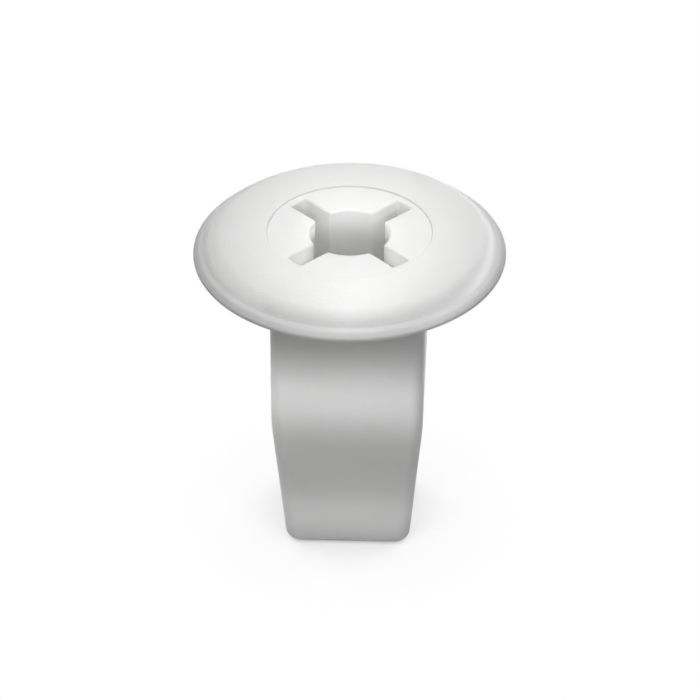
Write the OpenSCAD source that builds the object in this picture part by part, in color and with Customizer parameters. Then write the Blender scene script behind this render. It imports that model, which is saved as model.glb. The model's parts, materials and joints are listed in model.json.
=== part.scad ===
// Screw grommet: a one-piece moulded nylon nut that snaps into a square panel hole and takes a screw.
// A domed round head sits on the panel, and a square shank with a barbed front and back goes through it.
// The origin is on the screw's axis at the head's seat, with +Z up through the head.
// The barbs are on -Y and +Y.

/* [Head] */
// Diameter of the head across its rim
head_d = 16; // [14:0.1:20]
// Height of the rim's edge above the seat
rim_h = 0.28; // [0.2:0.01:0.5]
// Radius of the rim's upper edge
rim_round = 0.3; // [0.1:0.05:0.5]
// Radial width of the sloping lip outside the dome
lip_w = 0.65; // [0.4:0.05:1.2]
// Rise of the lip from the rim to the dome's foot
lip_rise = 0.32; // [0.1:0.02:0.5]
// Radius of the valley between the lip and the dome
valley_round = 0.2; // [0.1:0.05:0.4]
// Radial run of the dome's steep flank
flank_run = 0.35; // [0.2:0.05:0.6]
// Rise of the dome's steep flank
flank_rise = 0.5; // [0.3:0.02:0.8]
// Radius of the shoulder between the flank and the crown
shoulder_round = 1.3; // [0.5:0.1:1.5]
// Rise of the crown from the shoulder to the edge of the land
crown_rise = 0.36; // [0.2:0.02:0.6]
// Height by which the crown bows above a straight line from the shoulder to the land
crown_bow = 0.08; // [0.02:0.02:0.14]
// Diameter of the flat land around the recess
land_d = 8.4; // [8.3:0.1:9.5]
// Depth of the land below the crown's edge
land_sink = 0.08; // [0.04:0.01:0.15]

/* [Recess] */
// Diameter of the screw hole
bore_d = 4.1; // [3.5:0.05:4.6]
// Width of each of the four slots
slot_w = 1; // [0.7:0.01:1.3]
// Length of the cross from slot end to slot end at the land
cross_span = 7.7; // [7:0.02:7.8]
// Length of the cross from slot end to slot end at the shank's tip
cross_tip_span = 5.8; // [5.2:0.1:6.2]
// Radius of the recess's upper edge
mouth_round = 0.25; // [0.1:0.01:0.32]

/* [Shank] */
// Length of the shank below the seat
shank_l = 16; // [13:0.1:20]
// Width of the shank at its neck
neck_w = 7.92; // [7.6:0.02:8.4]
// Width of the shank at the height of its ridges
ridge_w = 7.78; // [7.4:0.02:8.2]
// Depth of the shank at its neck, from front to back
neck_depth = 7.5; // [7.3:0.1:8]
// Length of the straight neck that the panel's edge lies on
neck_l = 2.2; // [1:0.1:3]
// Depth of the shank across the ridges of its barbs
ridge_depth = 8.8; // [8.2:0.1:9.4]
// Distance of the ridges below the seat
ridge_drop = 8.1; // [6:0.1:9]
// Radius over the ridge of each barb
ridge_round = 11; // [4:0.5:14]
// Width of the shank at its tip
tip_w = 6.32; // [5.9:0.02:7]
// Depth of the shank at its tip
tip_depth = 6.3; // [5.9:0.1:7]
// Radius of the shank's four long corners
corner_round = 0.7; // [0.4:0.05:0.9]
// Radius of the edge around the tip
tip_round = 0.5; // [0.2:0.05:0.6]

/* [Hidden] */
$fn = 96;
nylon_white = [0.93, 0.93, 0.92];
// Length by which a cut runs past the face that it opens, and the shank runs up into the head
overrun = 0.3;
// Straight pieces in each round of an outline
round_steps = 8;
// Most of a side that a large and a small round at its two ends may take
wide_share = 0.8;
small_share = 1 - wide_share;
// Radius that the shank's corners keep where the tip's round takes them in
least_corner = 0.1;

head_r = head_d / 2;
foot_r = head_r - lip_w;
shoulder_r = foot_r - flank_run;
land_r = land_d / 2;
foot_z = rim_h + lip_rise;
shoulder_z = foot_z + flank_rise;
crown_z = shoulder_z + crown_rise;
land_z = crown_z - land_sink;
bow_r = (land_r + shoulder_r) / 2;
bow_z = (crown_z + shoulder_z) / 2 + crown_bow;
// Radius over the crown's bow
bow_round = 14;

function unit(v) = v / norm(v);

// Points of the arc that rounds corner b between a and c. The arc uses at most a share of each side.
function corner_arc(a, b, c, radius, share) =
  let (
    u = unit(a - b),
    v = unit(c - b),
    half = acos(u * v) / 2,
    reach = min(radius / tan(half), share * norm(a - b), share * norm(c - b)),
    centre = b + unit(u + v) * reach / cos(half),
    start = b + u * reach - centre,
    end = b + v * reach - centre,
    sweep = 180 - 2 * half
  )
  [for (i = [0 : round_steps])
    centre + (sin(sweep * (1 - i / round_steps)) * start + sin(sweep * i / round_steps) * end) / sin(sweep)];

// A path of [point, radius, share] corners, with each corner of some radius turned into an arc
function rounded_path(path) = [
  for (i = [0 : len(path) - 1])
    each path[i][1] == 0
      ? [path[i][0]]
      : corner_arc(path[i - 1][0], path[i][0], path[i + 1][0], path[i][1], path[i][2])
];

// Half section of the head, from the axis along the seat, over the rim and dome and back to the axis
function head_section() = rounded_path([
  [[0, 0], 0, 0],
  [[head_r, 0], 0, 0],
  [[head_r, rim_h], rim_round, wide_share],
  [[foot_r, foot_z], valley_round, small_share],
  [[shoulder_r, shoulder_z], shoulder_round, wide_share],
  [[bow_r, bow_z], bow_round, small_share],
  [[land_r, crown_z], 0, 0],
  [[land_r, land_z], 0, 0],
  [[0, land_z], 0, 0]
]);

module head() {
  rotate_extrude() polygon(head_section());
}

// Half depth and half width of the shank against the distance below the seat
function side_line(top, at_ridge, tip) = rounded_path([
  [[-overrun, top / 2], 0, 0],
  [[neck_l, top / 2], 0, 0],
  [[ridge_drop, at_ridge / 2], ridge_round, wide_share],
  [[shank_l, tip / 2], 0, 0]
]);
depth_line = side_line(neck_depth, ridge_depth, tip_depth);
width_line = side_line(neck_w, ridge_w, tip_w);
tip_start = shank_l - tip_round;

// Stations along the shank as [distance below the seat, inset of the outline]
stations = concat(
  [for (p = depth_line) if (p.x < tip_start) [p.x, 0]],
  [for (i = [0 : round_steps])
    let (a = 90 * i / round_steps)
    [tip_start + tip_round * sin(a), tip_round * (1 - cos(a))]]
);

// Outline of the shank at a station: a rectangle with four round corners, as points in space
function shank_ring(station) =
  let (
    radius = max(corner_round - station[1], least_corner),
    x = lookup(station[0], width_line) - station[1] - radius,
    y = lookup(station[0], depth_line) - station[1] - radius
  )
  [for (q = [0 : 3], i = [0 : round_steps])
    let (a = 90 * (q + i / round_steps))
    [(q == 0 || q == 3 ? x : -x) + radius * cos(a), (q < 2 ? y : -y) + radius * sin(a), -station[0]]];

module shank() {
  count = 4 * (round_steps + 1);
  last = len(stations) - 1;
  points = [for (s = stations) each shank_ring(s)];
  sides = [
    for (j = [0 : last - 1], i = [0 : count - 1])
      let (k = (i + 1) % count)
      [j * count + i, j * count + k, (j + 1) * count + k, (j + 1) * count + i]
  ];
  top = [for (i = [count - 1 : -1 : 0]) i];
  tip = [for (i = [0 : count - 1]) last * count + i];
  polyhedron(points, concat([top], sides, [tip]));
}

// A four-sided outline with its middle on the axis, as wide as given at two heights
module flank_pair(low_z, low_w, high_z, high_w) {
  polygon([[-low_w / 2, low_z], [low_w / 2, low_z], [high_w / 2, high_z], [-high_w / 2, high_z]]);
}

// Length of the cross at a height, along the straight line from the land to the tip
function span_at(z) = cross_tip_span + (cross_span - cross_tip_span) * (z + shank_l) / (land_z + shank_l);

// Two opposite slots as one blade along X, with ends that lean in towards the tip
module slot_blade() {
  low = -shank_l - overrun;
  high = land_z + overrun;
  rotate([90, 0, 0])
    linear_extrude(slot_w, center = true)
      flank_pair(low, span_at(low), high, span_at(high));
}

// Outline of a hole that opens out to the land in a round, by the half width of the hole
function mouth_line(half) = [
  for (i = [0 : round_steps])
    let (a = 90 * i / round_steps)
    [half + mouth_round * (1 - cos(a)), land_z - mouth_round * (1 - sin(a))]
];

// The same outline closed above the land, on one side of the axis or on both
module mouth_side(half) {
  line = mouth_line(half);
  wide = half + mouth_round;
  polygon(concat([[0, land_z - mouth_round]], line, [[wide, land_z + overrun], [0, land_z + overrun]]));
}

module mouth_pair(half) {
  mouth_side(half);
  mirror([1, 0]) mouth_side(half);
}

// The round along the upper edge of two opposite slots
module slot_mouth() {
  intersection() {
    rotate([90, 0, 0])
      linear_extrude(slot_w + 2 * mouth_round, center = true) mouth_pair(cross_span / 2);
    rotate([90, 0, 90])
      linear_extrude(cross_span + 2 * mouth_round, center = true) mouth_pair(slot_w / 2);
  }
}

module recess() {
  translate([0, 0, -shank_l - overrun])
    cylinder(d = bore_d, h = shank_l + land_z + 2 * overrun);
  rotate_extrude() mouth_side(bore_d / 2);
  for (turn = [45, 135]) rotate(turn) {
    slot_blade();
    slot_mouth();
  }
}

module screw_grommet() {
  color(nylon_white)
    difference() {
      union() {
        head();
        shank();
      }
      recess();
    }
}

screw_grommet();
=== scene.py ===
import json
import math

import bpy
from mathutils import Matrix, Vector


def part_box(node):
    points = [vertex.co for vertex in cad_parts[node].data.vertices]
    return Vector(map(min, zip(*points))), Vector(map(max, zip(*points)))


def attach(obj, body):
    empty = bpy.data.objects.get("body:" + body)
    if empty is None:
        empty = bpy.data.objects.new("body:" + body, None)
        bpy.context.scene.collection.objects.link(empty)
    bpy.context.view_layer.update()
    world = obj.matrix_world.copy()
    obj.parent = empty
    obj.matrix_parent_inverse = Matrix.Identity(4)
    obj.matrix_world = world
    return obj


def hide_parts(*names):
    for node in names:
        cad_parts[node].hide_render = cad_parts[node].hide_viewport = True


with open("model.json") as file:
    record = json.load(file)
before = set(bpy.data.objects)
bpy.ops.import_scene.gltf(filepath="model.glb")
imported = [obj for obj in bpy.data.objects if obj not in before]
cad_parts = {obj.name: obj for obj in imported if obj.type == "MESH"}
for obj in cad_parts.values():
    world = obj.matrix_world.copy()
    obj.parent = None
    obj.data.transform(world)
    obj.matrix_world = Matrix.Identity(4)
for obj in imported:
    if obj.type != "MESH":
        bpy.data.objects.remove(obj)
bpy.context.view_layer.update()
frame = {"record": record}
mm = 0.001    # sizes below are in millimetres, angles in degrees
scene = bpy.context.scene
scene.view_settings.view_transform = "Standard"
print("frame loaded")


def around(azimuth, elevation, distance):
    # a step away from a point: azimuth 0 is in front (-Y), 90 at the right (+X)
    turn, lift = math.radians(azimuth), math.radians(elevation)
    flat = distance * math.cos(lift)
    return Vector((flat * math.sin(turn), -flat * math.cos(turn), distance * math.sin(lift)))


def addObject(name, data):
    made = bpy.data.objects.new(name, data)
    scene.collection.objects.link(made)
    return made


cameraSetup = {
    "lens": 402.8,              # a long lens, so the shank's sides stay almost parallel
    "sensor": 36,
    "azimuth": 2.0,             # a little from the right, so the shank's right side just shows
    "elevation": 34.47,
    "distance": 404,
    "aim": (0.02, 0, -5.9),     # what lies in the middle of the picture
    "nearest": 10,
}


def makeCamera(setup):
    data = bpy.data.cameras.new("benchCamera")
    data.lens = setup["lens"]
    data.sensor_width = setup["sensor"]
    data.clip_start = setup["nearest"] * mm
    camera = addObject("benchCamera", data)
    back = around(setup["azimuth"], setup["elevation"], setup["distance"])
    camera.location = (Vector(setup["aim"]) + back) * mm
    camera.rotation_euler = back.to_track_quat("Z", "Y").to_euler()
    bpy.context.scene.camera = camera


makeCamera(cameraSetup)
print("camera placed")

low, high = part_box("screw_grommet")
screwHole = next(m for m in frame["record"]["mounts"] if m["name"] == "screw_hole")
boreR = screwHole["dims"]["r_mm"]
headR, crownZ, tipZ = high.x / mm, high.z / mm, low.z / mm

recess = {
    "slotWidth": 1.0,
    "reach": 3.85,              # slot end from the axis, at the land
    "tipReach": 2.9,            # and at the tip
    "mouthRound": 0.12,
    "tipMouthRound": 0.06,
    "boreCornerRound": 0.12,    # upright corners between the bore and the slots
    "leastCorner": 0.02,
    "slotEndRound": 0.1,
    "mouthSteps": 8,
    "wallSteps": 24,
    "endSteps": 4,              # points along half a slot, from its end to the bore
    "endCornerSteps": 4,
    "slotSteps": 10,
    "boreCornerSteps": 8,
    "boreSteps": 14,
}
head = {
    "rimHeight": 0.22,
    "rimRound": 0.16,
    "rimUnderRound": 0.14,
    "lipWidth": 0.48,
    "lipRise": 0.36,
    "lipBow": 0.055,            # height of the lip's roll above a straight slope
    "lipBowRound": 0.5,
    "valleyRound": 0.3,
    "flankRun": 0.45,
    "flankRise": 0.52,
    "shoulderRound": 1.3,
    "crownBow": 0.08,
    "crownRound": 14,
    "landRadius": 4.2,
    "landSink": 0.08,
    "landWallRun": 0.03,        # lean of the small wall around the land
    "landRound": 0.03,
    "landMargin": 0.04,         # land kept between the slot ends and its wall
    "seatMargin": 0.2,
    "longest": 0.3,             # longest straight stretch of the section
    "arcSteps": 10,
}
shank = {
    "neckWidth": 7.92,
    "ridgeWidth": 7.78,
    "tipWidth": 6.32,
    "neckDepth": 7.5,
    "ridgeDepth": 8.8,
    "tipDepth": 6.3,
    "neckLength": 2.2,
    "neckRound": 6,
    "ridgeDrop": 8.1,
    "ridgeRound": 11,
    "cornerRound": 0.7,
    "leastCorner": 0.1,
    "rootRound": 0.15,
    "tipRound": 0.6,
    "longest": 0.4,
    "arcSteps": 12,
    "roundSteps": 8,
}
flatShares = (0.04, 0.3, 0.65, 0.96)    # rings across a flat face, close to its edges
flatWeight = 100    # how far flat faces set the shading at their edges
cornerShare = 0.8   # most of a side that a round may take
landZ = crownZ - head["landSink"]


def line(start, end, count):
    # points from start towards end, without the end itself
    return [Vector(start).lerp(Vector(end), i / count) for i in range(count)]


def arc(centre, radius, first, last, count):
    turns = [math.radians(first + (last - first) * i / count) for i in range(count)]
    return [Vector(centre) + radius * Vector((math.cos(t), math.sin(t))) for t in turns]


def cornerArc(before, corner, after, radius, count):
    # round over one corner of a section, cut short where its sides are short
    u, v = (before - corner).normalized(), (after - corner).normalized()
    half = u.angle(v) / 2
    side = min((before - corner).length, (after - corner).length)
    taken = min(radius / math.tan(half), cornerShare * side)
    centre = corner + (u + v).normalized() * taken / math.cos(half)
    start, end = corner + u * taken - centre, corner + v * taken - centre
    sweep = math.pi - 2 * half
    parts = [(math.sin(sweep * (1 - i / count)), math.sin(sweep * i / count)) for i in range(count + 1)]
    return [centre + (start * a + end * b) / math.sin(sweep) for a, b in parts]


def roundedSection(corners, count, longest):
    # corners are (point, radius); straight stretches are cut to the longest length
    points = [Vector(p) for p, _ in corners]
    path = []
    for i, (_, radius) in enumerate(corners):
        path += cornerArc(*points[i - 1:i + 2], radius, count) if radius else [points[i]]
    cut = []
    for a, b in zip(path, path[1:]):
        cut += line(a, b, max(1, math.ceil((b - a).length / longest)))
    return cut + path[-1:]


def turned(points, degrees):
    c, s = math.cos(math.radians(degrees)), math.sin(math.radians(degrees))
    return [Vector((p.x * c - p.y * s, p.x * s + p.y * c)) for p in points]


def slotHalf(reach, grow):
    # half a slot along +X, opened out by grow: from the middle of its end along its side
    # and round the bore's wall to half way to the next slot
    end, half, bore = reach + grow, recess["slotWidth"] / 2 + grow, boreR + grow
    endRound = recess["slotEndRound"] + grow
    cornerRound = max(recess["boreCornerRound"] - grow, recess["leastCorner"])
    endX, endY, cornerY = end - endRound, half - endRound, half + cornerRound
    cornerX = math.sqrt((bore + cornerRound) ** 2 - cornerY ** 2)
    turn = math.degrees(math.atan2(cornerY, cornerX))
    points = line((end, 0), (end, endY), recess["endSteps"])
    points += arc((endX, endY), endRound, 0, 90, recess["endCornerSteps"])
    points += line((endX, half), (cornerX, half), recess["slotSteps"])
    points += arc((cornerX, cornerY), cornerRound, -90, turn - 180, recess["boreCornerSteps"])
    points += arc((0, 0), bore, turn, 45, recess["boreSteps"])
    return points + turned([Vector((bore, 0))], 45)


def crossLoop(reach, grow):
    half = slotHalf(reach, grow)
    quarter = [Vector((p.x, -p.y)) for p in reversed(half[1:])] + half[:-1]
    return [p for q in range(4) for p in turned(quarter, 45 + 90 * q)]    # slots on the diagonals


mouthLoop = crossLoop(recess["reach"], recess["mouthRound"])
slotFan = [math.atan2(p.y, p.x) for p in slotHalf(recess["reach"], recess["mouthRound"])]


def circleLoop(radius):
    return [p.normalized() * radius for p in mouthLoop]


def cornerHalf(width, depth, radius):
    # half of a shank corner from its diagonal, round to the middle of the face on +Y
    bend = recess["endSteps"] + recess["endCornerSteps"]
    points = arc((width - radius, depth - radius), radius, 45, 90, bend)
    shares = [(t - slotFan[bend]) / (slotFan[-1] - slotFan[bend]) for t in slotFan[bend:]]
    return points + [Vector(((width - radius) * (1 - s), depth)) for s in shares]


def shankLoop(width, depth, radius):
    loop = []
    for q in range(4):
        w, d = (width, depth) if q % 2 == 0 else (depth, width)
        right = [Vector((p.y, p.x)) for p in reversed(cornerHalf(d, w, radius)[1:])]
        loop += turned(right + cornerHalf(w, d, radius)[:-1], 90 * q)
    return loop


def mixLoops(first, last, share):
    return [a.lerp(b, share) for a, b in zip(first, last)]


def quarterRound(radius, count):
    # (in, along) of a quarter round, from its side edge to its end edge
    turns = [math.pi / 2 * i / count for i in range(count + 1)]
    return [(radius * (1 - math.cos(t)), radius * math.sin(t)) for t in turns]


def recessRings():
    # up the recess from the tip to the land
    def reachAt(z):
        return recess["tipReach"] + (recess["reach"] - recess["tipReach"]) * (z - tipZ) / (landZ - tipZ)

    rings = []
    tipRound, mouthRound, steps = recess["tipMouthRound"], recess["mouthRound"], recess["mouthSteps"]
    for grow, along in reversed(quarterRound(tipRound, steps)):
        z = tipZ + tipRound - along
        rings.append((crossLoop(reachAt(z), grow), z))
    bottom, top = rings[-1][1], landZ - mouthRound
    for i in range(1, recess["wallSteps"]):
        z = bottom + (top - bottom) * i / recess["wallSteps"]
        rings.append((crossLoop(reachAt(z), 0), z))
    for grow, along in quarterRound(mouthRound, steps):
        rings.append((crossLoop(recess["reach"], grow), top + along))
    return rings


def headRings():
    # out over the land, the dome and the lip, then in along the seat
    landR = head["landRadius"]
    wallR = landR + head["landWallRun"]
    footR = headR - head["lipWidth"]
    shoulderR = footR - head["flankRun"]
    footZ = head["rimHeight"] + head["lipRise"]
    shoulderZ = footZ + head["flankRise"]
    bow = ((landR + shoulderR) / 2, (crownZ + shoulderZ) / 2 + head["crownBow"])
    lipBow = ((footR + headR) / 2, (footZ + head["rimHeight"]) / 2 + head["lipBow"])
    section = roundedSection([
        ((landR - head["landMargin"], landZ), 0),
        ((landR, landZ), head["landRound"]),
        ((wallR, crownZ), head["landRound"]),
        (bow, head["crownRound"]),
        ((shoulderR, shoulderZ), head["shoulderRound"]),
        ((footR, footZ), head["valleyRound"]),
        (lipBow, head["lipBowRound"]),
        ((headR, head["rimHeight"]), head["rimRound"]),
        ((headR, 0), head["rimUnderRound"]),
        ((headR - head["seatMargin"], 0), 0),
    ], head["arcSteps"], head["longest"])
    landEdge = circleLoop(section[0].x)
    rings = [(mixLoops(mouthLoop, landEdge, s), landZ) for s in flatShares]
    return rings + [(circleLoop(p.x), p.y) for p in section]


def sideLine(top, ridge, tip):
    # half size of the shank against the drop below the seat
    return roundedSection([
        ((0, top / 2), 0),
        ((shank["neckLength"], top / 2), shank["neckRound"]),
        ((shank["ridgeDrop"], ridge / 2), shank["ridgeRound"]),
        ((-tipZ, tip / 2), 0),
    ], shank["arcSteps"], shank["longest"])


def sizeAt(side, drop):
    for a, b in zip(side, side[1:]):
        if drop <= b.x:
            return a.y + (b.y - a.y) * (drop - a.x) / (b.x - a.x)
    return side[-1].y


def shankRings():
    # in along the seat to the root, down the shank and in under the tip
    depths = sideLine(shank["neckDepth"], shank["ridgeDepth"], shank["tipDepth"])
    widths = sideLine(shank["neckWidth"], shank["ridgeWidth"], shank["tipWidth"])

    def loopAt(drop, inset):
        radius = max(shank["cornerRound"] - inset, shank["leastCorner"])
        return shankLoop(sizeAt(widths, drop) - inset, sizeAt(depths, drop) - inset, radius)

    rootRound, tipRound, steps = shank["rootRound"], shank["tipRound"], shank["roundSteps"]
    root = [(-inset, rootRound - along) for inset, along in reversed(quarterRound(rootRound, steps))]
    seatEdge, rootEdge = circleLoop(headR - head["seatMargin"]), loopAt(0, -rootRound)
    rings = [(mixLoops(seatEdge, rootEdge, s), 0) for s in flatShares]
    rings += [(loopAt(drop, inset), -drop) for inset, drop in root]
    tipTop = -tipZ - tipRound
    rings += [(loopAt(p.x, 0), -p.x) for p in depths if rootRound < p.x < tipTop]
    tip = [(inset, tipTop + along) for inset, along in quarterRound(tipRound, steps)]
    rings += [(loopAt(drop, inset), -drop) for inset, drop in tip]
    tipMouth = crossLoop(recess["tipReach"], recess["tipMouthRound"])
    return rings + [(mixLoops(rings[-1][0], tipMouth, s), tipZ) for s in flatShares]


def makeGrommet():
    # one closed skin of rings around the axis, through the bore and back
    rings = recessRings() + headRings() + shankRings()
    count = len(mouthLoop)
    points = [(p.x * mm, p.y * mm, z * mm) for loop, z in rings for p in loop]
    faces = []
    for k in range(len(rings)):
        a, b = k * count, (k + 1) % len(rings) * count
        faces += [(a + i, b + i, b + (i + 1) % count, a + (i + 1) % count) for i in range(count)]
    mesh = bpy.data.meshes.new("grommetBody")
    mesh.from_pydata(points, [], faces)
    mesh.shade_smooth()
    body = addObject("grommetBody", mesh)
    weights = body.modifiers.new("flatFacesStayFlat", "WEIGHTED_NORMAL")
    weights.weight = flatWeight
    return body


grommetBody = makeGrommet()
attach(grommetBody, "root")
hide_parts("screw_grommet")
print("grommet modelled,", len(grommetBody.data.polygons), "faces")


class Wire:
    # a socket of a node tree, so that shader maths is written as sums
    def __init__(self, tree, socket=None):
        self.tree = tree
        self.socket = socket

    def node(self, kind, settings=None, sockets=None, out=0):
        made = self.tree.nodes.new(kind)
        for name, value in (settings or {}).items():
            setattr(made, name, value)
        for name, value in (sockets or {}).items():
            if isinstance(value, Wire):
                self.tree.links.new(value.socket, made.inputs[name])
            else:
                made.inputs[name].default_value = value
        return Wire(self.tree, made.outputs[out] if made.outputs else None)

    def maths(self, operation, first, second=0):
        return self.node("ShaderNodeMath", {"operation": operation}, {0: first, 1: second})

    def __add__(self, other):
        return self.maths("ADD", self, other)

    def __sub__(self, other):
        return self.maths("SUBTRACT", self, other)

    def __mul__(self, other):
        return self.maths("MULTIPLY", self, other)

    def __rsub__(self, other):
        return self.maths("SUBTRACT", other, self)

    __radd__, __rmul__ = __add__, __mul__


def bareTree(owner):
    # the emptied node tree of a material or a world
    owner.use_nodes = True
    owner.node_tree.nodes.clear()
    return Wire(owner.node_tree)


nylon = {
    "tone": (0.9, 0.9, 0.893, 1),
    "toneDeep": (0.855, 0.855, 0.843, 1),   # where the melt cooled a little denser
    "toneSize": 2.2,                        # mm across a patch of tone
    "toneDetail": 3,
    "seamTone": (0.66, 0.66, 0.65, 1),      # painted shade: a dark line along the crease round the land's edge
    "seamRadius": 4.215,
    "seamWidth": 0.07,
    "seamFloor": 1.385,                     # lowest height of the painted shade line
    "roughness": 0.42,
    "roughnessSwing": 0.12,
    "grainSize": 0.14,                      # mm across the mould's spark-eroded grain
    "grainHeight": 0.008,
    "grainDetail": 2,
    "sinkSize": 1.6,                        # mm across the slow waves of shrinkage
    "sinkHeight": 0.006,
    "sinkDetail": 1,
    "ior": 1.53,
    "glow": 0.5,                            # share of light that goes through the skin
    "glowDepth": 2.0,
    "glowColour": (1.0, 0.98, 0.95),
}


def naturalNylon(look):
    material = bpy.data.materials.new("naturalNylon")
    wire = bareTree(material)
    place = wire.node("ShaderNodeTexCoord", out="Object")
    place = wire.node("ShaderNodeVectorMath", {"operation": "SCALE"}, {0: place, "Scale": 1 / mm})

    def cloud(name):
        sockets = {"Vector": place, "Scale": 1 / look[name + "Size"], "Detail": look[name + "Detail"]}
        return wire.node("ShaderNodeTexNoise", {}, sockets)

    def blend(share, first, second):
        # a mix node's colours go in at 6 and 7 and come out at 2
        return wire.node("ShaderNodeMix", {"data_type": "RGBA"}, {0: share, 6: first, 7: second}, out=2)

    patches, grain, sink = cloud("tone"), cloud("grain"), cloud("sink")
    x, y, z = (wire.node("ShaderNodeSeparateXYZ", {}, {0: place}, out=i) for i in range(3))
    # painted shade: the base colour is darkened in a thin ring along the crease round the land
    off = wire.maths("ABSOLUTE", wire.maths("SQRT", x * x + y * y) - look["seamRadius"])
    inWidth = wire.maths("LESS_THAN", off, look["seamWidth"] / 2)
    paintedShade = inWidth * wire.maths("GREATER_THAN", z, look["seamFloor"])
    colour = blend(paintedShade, blend(patches, look["toneDeep"], look["tone"]), look["seamTone"])
    roughness = look["roughness"] + look["roughnessSwing"] * (grain - 0.5)    # noise lies about a half
    height = grain * look["grainHeight"] + sink * look["sinkHeight"]
    bump = wire.node("ShaderNodeBump", {}, {"Height": height, "Distance": mm})
    skin = wire.node("ShaderNodeBsdfPrincipled", {}, {
        "Base Color": colour,
        "Roughness": roughness,
        "Normal": bump,
        "IOR": look["ior"],
        "Subsurface Weight": look["glow"],
        "Subsurface Radius": look["glowColour"],
        "Subsurface Scale": look["glowDepth"] * mm,
    })
    wire.node("ShaderNodeOutputMaterial", {}, {"Surface": skin})
    return material


grommetBody.data.materials.append(naturalNylon(nylon))
print("nylon finished")

stage = {
    "floorSize": 1200,
    "floorColour": (0.6, 0.6, 0.6, 1),
    "white": (1, 1, 1, 1),
    "shadowReach": 9,           # mm of ambient occlusion round the object, where a painted contact shadow lets the sheet's own darker shading show
    "shadowRays": 4,
    "skyColour": (1, 1, 1, 1),
    "skyStrength": 0.02,
}


def seenDirectly(wire):
    # 1 where the eye sees the white sheet itself, also in a mirror or through glass
    rays = [wire.node("ShaderNodeLightPath", out=name)
            for name in ("Is Camera Ray", "Is Glossy Ray", "Is Transmission Ray")]
    return wire.maths("MAXIMUM", wire.maths("MAXIMUM", rays[0], rays[1]), rays[2])


def makeFloor(look):
    half = look["floorSize"] * mm / 2
    corners = [(-half, -half), (half, -half), (half, half), (-half, half)]
    mesh = bpy.data.meshes.new("paleFloor")
    mesh.from_pydata([(x, y, tipZ * mm) for x, y in corners], [], [(0, 1, 2, 3)])
    floor = addObject("paleFloor", mesh)
    material = bpy.data.materials.new("paleSheet")
    wire = bareTree(material)
    sheet = wire.node("ShaderNodeBsdfDiffuse", {}, {"Color": look["floorColour"]})
    white = wire.node("ShaderNodeEmission", {}, {"Color": look["white"], "Strength": 1})
    reach = {"Distance": look["shadowReach"] * mm}
    # painted contact shadow: ambient occlusion, not the lamps, sets where the white gives way to the
    # sheet's own lamp-lit shading
    covered = 1 - wire.node("ShaderNodeAmbientOcclusion", {"samples": look["shadowRays"]}, reach, out="AO")
    share = seenDirectly(wire) * (1 - covered * covered * covered)
    both = wire.node("ShaderNodeMixShader", {}, {0: share, 1: sheet, 2: white})
    wire.node("ShaderNodeOutputMaterial", {}, {"Surface": both})
    mesh.materials.append(material)


def makeSky(look):
    world = bpy.data.worlds.new("studioSky")
    scene.world = world
    wire = bareTree(world)
    dim = {"Color": look["skyColour"], "Strength": look["skyStrength"]}
    glow = wire.node("ShaderNodeBackground", {}, dim)
    white = wire.node("ShaderNodeBackground", {}, {"Color": look["white"], "Strength": 1})
    both = wire.node("ShaderNodeMixShader", {}, {0: seenDirectly(wire), 1: glow, 2: white})
    wire.node("ShaderNodeOutputWorld", {}, {"Surface": both})


makeFloor(stage)
makeSky(stage)
print("floor and sky made")

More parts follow.
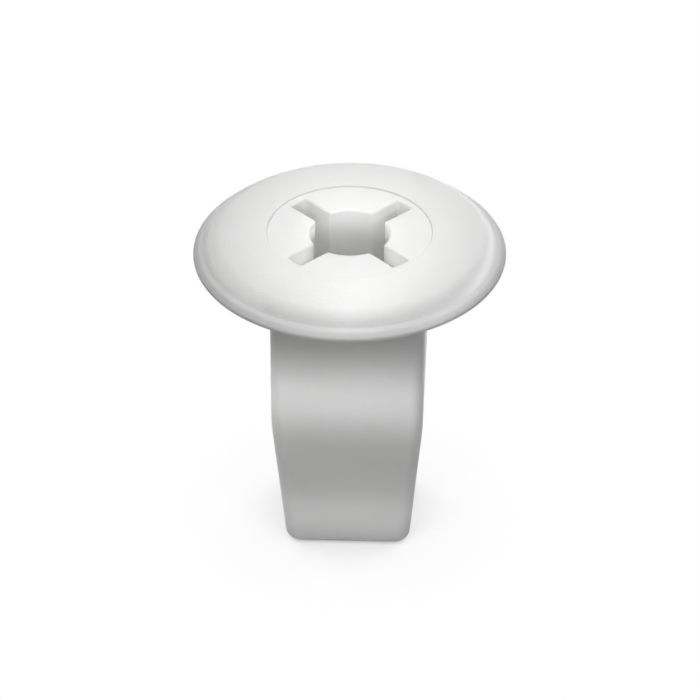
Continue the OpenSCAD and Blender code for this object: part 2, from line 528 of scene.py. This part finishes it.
lamps = {
    # a long soft bar over the head, so that the dome's sides fall off; just short of upright,
    # which keeps its length from front to back
    "headBar": {"azimuth": 0, "elevation": 89.9, "distance": 20, "aim": (0.4, 0, 1),
                "width": 5, "height": 42, "spread": 180, "power": 0.0047},
    # soft boxes around the bench
    "frontBox": {"azimuth": 0, "elevation": 32, "distance": 320, "aim": (0, 0, 0),
                 "width": 150, "height": 220, "spread": 180, "power": 0.13},
    "leftBox": {"azimuth": -45, "elevation": 40, "distance": 320, "aim": (0, 0, 0),
                "width": 150, "height": 150, "spread": 180, "power": 0.022},
    "rightBox": {"azimuth": 50, "elevation": 40, "distance": 320, "aim": (0, 0, 0),
                 "width": 150, "height": 150, "spread": 180, "power": 0.078},
    "backBox": {"azimuth": 180, "elevation": 40, "distance": 320, "aim": (0, 0, 0),
                "width": 150, "height": 150, "spread": 180, "power": 0.055},
    # narrow strips with a grid, each on one place: the bore's wall, the near slots and the dome's flanks
    "boreSides": {"azimuth": 80, "elevation": 13, "distance": 60, "aim": (-1.95, 0.3, 0.95),
                  "width": 2.2, "height": 0.7, "spread": 0.6, "power": 0.0000026, "bothSides": True},
    "nearSlots": {"azimuth": 45, "elevation": 42, "distance": 60, "aim": (-2.4, -1.7, 0.85),
                  "width": 1.5, "height": 0.6, "spread": 0.6, "power": 0.0000015, "bothSides": True},
    "boreBack": {"azimuth": 0, "elevation": 22, "distance": 100, "aim": (0, 2.05, 1.0),
                 "width": 5, "height": 1.2, "spread": 1.2, "power": 0.0000072},
    "flankRight": {"azimuth": 114, "elevation": 4, "distance": 60, "aim": (7.2, 0, 0.85),
                   "width": 13, "height": 0.4, "spread": 0.6, "power": 0.00001},
    "flankLeft": {"azimuth": -80, "elevation": 4, "distance": 60, "aim": (-7.2, 0, 0.85),
                  "width": 13, "height": 0.4, "spread": 0.4, "power": 0.000004},
    # wider strips that pass under the head and light the shank
    "rearRight": {"azimuth": 148, "elevation": 6, "distance": 100, "aim": (0, 0, -9),
                  "width": 14, "height": 10, "spread": 8, "power": 0.00021},
    "rearLeft": {"azimuth": -125, "elevation": 6, "distance": 100, "aim": (0, 0, -9),
                 "width": 14, "height": 10, "spread": 8, "power": 0.00016},
    "shankStrip": {"azimuth": -14, "elevation": 6, "distance": 100, "aim": (0, -4, -6),
                   "width": 14, "height": 2.5, "spread": 3, "power": 0.000053},
    "sideStrip": {"azimuth": -65, "elevation": 4, "distance": 100, "aim": (-3.9, 0, -8),
                  "width": 10, "height": 8, "spread": 6, "power": 0.000014},
    "lowStrip": {"azimuth": -14, "elevation": 6, "distance": 100, "aim": (0, -4, -11),
                 "width": 14, "height": 6, "spread": 10, "power": 0.000057},
    "tipStrip": {"azimuth": -10, "elevation": 3, "distance": 100, "aim": (0, -3.3, -14.1),
                 "width": 14, "height": 1.5, "spread": 3, "power": 0.000023},
}


def makeLamp(name, setup):
    data = bpy.data.lights.new(name, "AREA")
    data.shape = "RECTANGLE"
    data.size = setup["width"] * mm
    data.size_y = setup["height"] * mm
    data.spread = math.radians(setup["spread"])
    data.energy = setup["power"]
    sides = (1, -1) if setup.get("bothSides") else (1,)
    for side in sides:
        lamp = addObject(name, data)
        x, y, z = setup["aim"]
        back = around(setup["azimuth"] * side, setup["elevation"], setup["distance"])
        lamp.location = (Vector((x * side, y, z)) + back) * mm
        lamp.rotation_euler = back.to_track_quat("Z", "Y").to_euler()


for lampName, lampSetup in lamps.items():
    makeLamp(lampName, lampSetup)
print("lamps lit")
